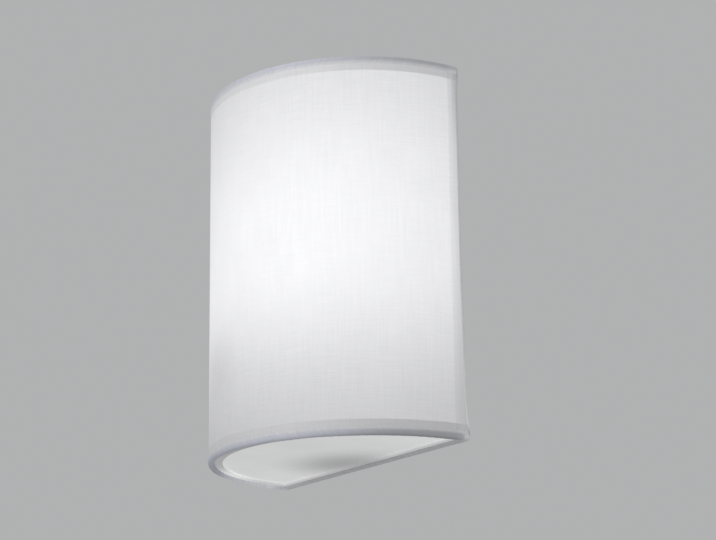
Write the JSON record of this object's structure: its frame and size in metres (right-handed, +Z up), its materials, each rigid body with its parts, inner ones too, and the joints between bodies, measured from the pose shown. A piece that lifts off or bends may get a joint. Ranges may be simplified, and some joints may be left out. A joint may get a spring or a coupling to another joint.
{
  "type": "wall light",
  "caption": "Half-round white cloth shade, lit from inside, hung on a slotted steel wall bracket over an upright lampholder, with an opal diffuser underneath.",
  "frame": {"origin": "on the wall plane, midway between the two wall-screw slots, at mid height of the shade", "axes": "+X right seen from the front, +Y into the wall, +Z up; the light stands out from the wall towards -Y"},
  "size_m": [0.2512, 0.1361, 0.3],
  "materials": {
    "white_cotton": "plain woven, laminated, white",
    "hem_cotton": "plain woven, folded edge, white",
    "shade_backing": "satin translucent film",
    "opal_acrylic": "opal, satin",
    "white_plastic": "satin",
    "white_paint": "white powder coat",
    "black_rubber": "matte",
    "rivet_alloy": "plain",
    "zinc_steel": "zinc plated",
    "holder_plastic": "gloss white",
    "core_ceramic": "unglazed ceramic look",
    "contact_brass": "plain",
    "bulb_opal": "opal globe, lit",
    "bulb_plastic": "satin white",
    "board_white": "solder mask",
    "chip_phosphor": "phosphor",
    "cap_nickel": "nickel plated",
    "black_glass": "vitrite",
    "block_nylon": "plain",
    "brown_insulation": "satin",
    "blue_insulation": "satin",
    "green_insulation": "green with yellow stripe"
  },
  "bodies": {
    "wall_unit": {"wall_bracket": "white_paint", "cable_grommet": "black_rubber", "lamp_arm": "white_paint", "arm_rivets": "rivet_alloy", "threaded_nipple": "zinc_steel", "lock_washer": "zinc_steel", "nipple_nut": "zinc_steel", "holder_cap": "holder_plastic", "holder_set_screw": "zinc_steel", "holder_core": "core_ceramic", "holder_clamp_screws": "contact_brass", "holder_body": "holder_plastic", "screw_shell": "contact_brass", "centre_contact": "contact_brass", "terminal_block": "block_nylon", "terminal_inserts": "contact_brass", "terminal_screws": "zinc_steel", "block_fixing_screw": "zinc_steel", "earth_washer": "zinc_steel", "earth_tag": "zinc_steel", "earth_screw": "contact_brass", "live_wire": "brown_insulation", "neutral_wire": "blue_insulation", "earth_wire": "green_insulation"},
    "bulb": {"bulb_globe": "bulb_opal", "bulb_housing": "bulb_plastic", "led_board": "board_white", "led_chips": "chip_phosphor", "bulb_cap": "cap_nickel", "bulb_insulator": "black_glass", "bulb_tip": "contact_brass"},
    "shade": {"top_ring": "white_paint", "bottom_ring": "white_paint", "left_back_strut": "white_paint", "right_back_strut": "white_paint", "hanger_bar": "white_paint", "shade_cloth": "white_cotton", "shade_liner": "shade_backing", "right_side_hem": "hem_cotton", "left_side_hem": "hem_cotton", "top_hem": "hem_cotton", "bottom_hem": "hem_cotton", "diffuser_ledge": "white_plastic"},
    "diffuser": {"diffuser": "opal_acrylic"}
  },
  "joints": [
    {"name": "shade_lift_off", "type": "slide", "parent": "wall_unit", "child": "shade", "axis": [0, -0.866, 0.5], "range_m": [0, 0.15]},
    {"name": "diffuser_lift", "type": "slide", "parent": "shade", "child": "diffuser", "axis": [0, 0, 1], "range_m": [0, 0.03]},
    {"name": "bulb_removal", "type": "slide", "parent": "wall_unit", "child": "bulb", "axis": [0, 0, 1], "range_m": [0, 0.215]}
  ]
}
